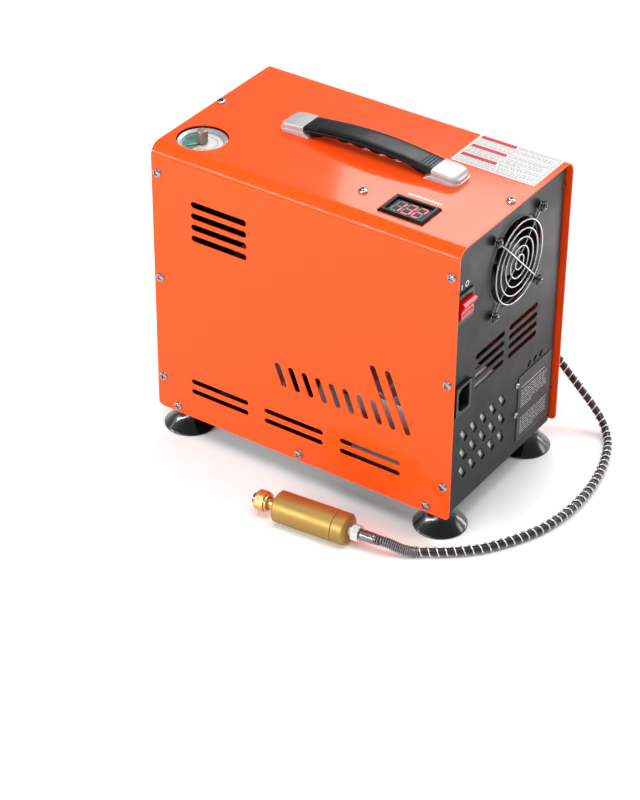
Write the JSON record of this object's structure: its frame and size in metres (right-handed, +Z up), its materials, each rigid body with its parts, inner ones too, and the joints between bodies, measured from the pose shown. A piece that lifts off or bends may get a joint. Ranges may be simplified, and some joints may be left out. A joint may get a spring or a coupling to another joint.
{
  "type": "portable high pressure air compressor",
  "caption": "Boxed electric high-pressure air compressor with carry handle, gauge, fan, mains inlet, rocker switch, four flared feet and an armoured hose ending in a filter and quick coupler.",
  "frame": {"origin": "middle of the footprint, on the floor, without the hose", "axes": "+X along the long side towards the end with fan and switch, +Y towards the back where the hose leaves, +Z up"},
  "size_m": [0.3982, 0.3135, 0.3174],
  "materials": {
    "orange": "satin powder coat",
    "charcoal": "satin powder coat",
    "black_plastic": "fine moulded texture",
    "black_gloss": "gloss",
    "rubber": "smooth, glossy",
    "satin_silver": "satin",
    "chrome": "polished",
    "steel": "machined",
    "aluminium": "cast and machined",
    "iron": "painted casting",
    "brass": "satin, knurled",
    "copper": "drawn tube",
    "red": "gloss, slightly clear",
    "paper": "printed film",
    "glass": "clear"
  },
  "bodies": {
    "frame": {"cover": "orange", "chassis": "charcoal", "foot_front_left": "rubber", "foot_back_left": "rubber", "foot_front_right": "rubber", "foot_back_right": "rubber", "handle_cap_left": "satin_silver", "handle_cap_right": "satin_silver", "handle_grip": "black_plastic", "gauge_case": "iron", "gauge_bezel": "chrome", "gauge_lens": "glass", "gauge_dial": "paper", "meter_housing": "black_plastic", "meter_window": "black_gloss", "safety_label": "paper", "fan_frame": "black_plastic", "fan_guard": "chrome", "fan_screw_1": "black_gloss", "fan_screw_2": "black_gloss", "fan_screw_3": "black_gloss", "fan_screw_4": "black_gloss", "switch_housing": "black_plastic", "inlet_housing": "black_plastic", "inlet_pin_live": "steel", "inlet_pin_neutral": "steel", "inlet_pin_earth": "steel", "rating_plate": "charcoal", "plate_screw_1": "chrome", "plate_screw_2": "chrome", "mount_plate": "steel", "motor_body": "steel", "crankcase": "aluminium", "cylinder": "aluminium", "cylinder_head": "brass", "power_supply": "aluminium", "delivery_pipe": "copper", "gauge_pipe": "copper", "outlet_block": "aluminium", "hose_gland": "steel", "hose": "rubber", "hose_relief": "steel", "hose_ferrule": "steel", "hose_nut": "chrome", "filter_body": "brass", "coupler_body": "steel"},
    "fan": {"fan_rotor": "black_plastic"},
    "pointer": {"gauge_pointer": "black_plastic"},
    "set_knob": {"gauge_knob": "steel", "gauge_set_pointer": "paper"},
    "switch": {"switch_key": "red"},
    "motor": {"motor_shaft": "steel"},
    "crank": {"crank_gear": "steel"},
    "piston_body": {"piston": "aluminium"},
    "rod": {"connecting_rod": "aluminium"},
    "bleed": {"bleed_valve": "black_plastic"},
    "cap": {"filter_cap": "brass"},
    "sleeve": {"coupler_sleeve": "brass"}
  },
  "joints": [
    {"name": "fan_spin", "type": "hinge", "parent": "frame", "child": "fan", "pos_m": [0.14, 0.004, 0.2405], "axis": [1, 0, 0], "continuous": true},
    {"name": "pointer_turn", "type": "hinge", "parent": "frame", "child": "pointer", "pos_m": [-0.1295, -0.0635, 0.295], "axis": [0, 0, -1], "range_deg": [0, 270]},
    {"name": "set_knob_turn", "type": "hinge", "parent": "frame", "child": "set_knob", "pos_m": [-0.1295, -0.0635, 0.299], "axis": [0, 0, -1], "range_deg": [-3, 267]},
    {"name": "switch_rock", "type": "hinge", "parent": "frame", "child": "switch", "pos_m": [0.1572, -0.0816, 0.2387], "axis": [0, 1, 0], "range_deg": [-28, 0]},
    {"name": "crank_spin", "type": "hinge", "parent": "frame", "child": "crank", "pos_m": [-0.072, -0.0045, 0.135], "axis": [1, 0, 0], "continuous": true},
    {"name": "motor_spin", "type": "hinge", "parent": "frame", "child": "motor", "pos_m": [-0.072, -0.0045, 0.099], "axis": [1, 0, 0], "continuous": true},
    {"name": "piston_slide", "type": "slide", "parent": "frame", "child": "piston_body", "axis": [0, 0, 1], "range_m": [0, 0.014]},
    {"name": "rod_swing", "type": "hinge", "parent": "piston_body", "child": "rod", "pos_m": [-0.094, -0.0045, 0.173], "axis": [1, 0, 0], "range_deg": [-8, 8]},
    {"name": "bleed_turn", "type": "hinge", "parent": "frame", "child": "bleed", "pos_m": [0.084, 0.0905, 0.086], "axis": [0, 1, 0], "range_deg": [0, 360]},
    {"name": "cap_turn", "type": "hinge", "parent": "frame", "child": "cap", "pos_m": [0.08165, -0.15065, 0.015], "axis": [0.9962, 0.0872, 0], "range_deg": [0, 360]},
    {"name": "sleeve_slide", "type": "slide", "parent": "frame", "child": "sleeve", "axis": [0.9962, 0.0872, 0], "range_m": [0, 0.003], "stiffness_N_per_m": 600, "springref_m": -0.002}
  ],
  "couplings": [
    {"joint": "motor_spin", "follows": "crank_spin", "ratio": -3}
  ]
}
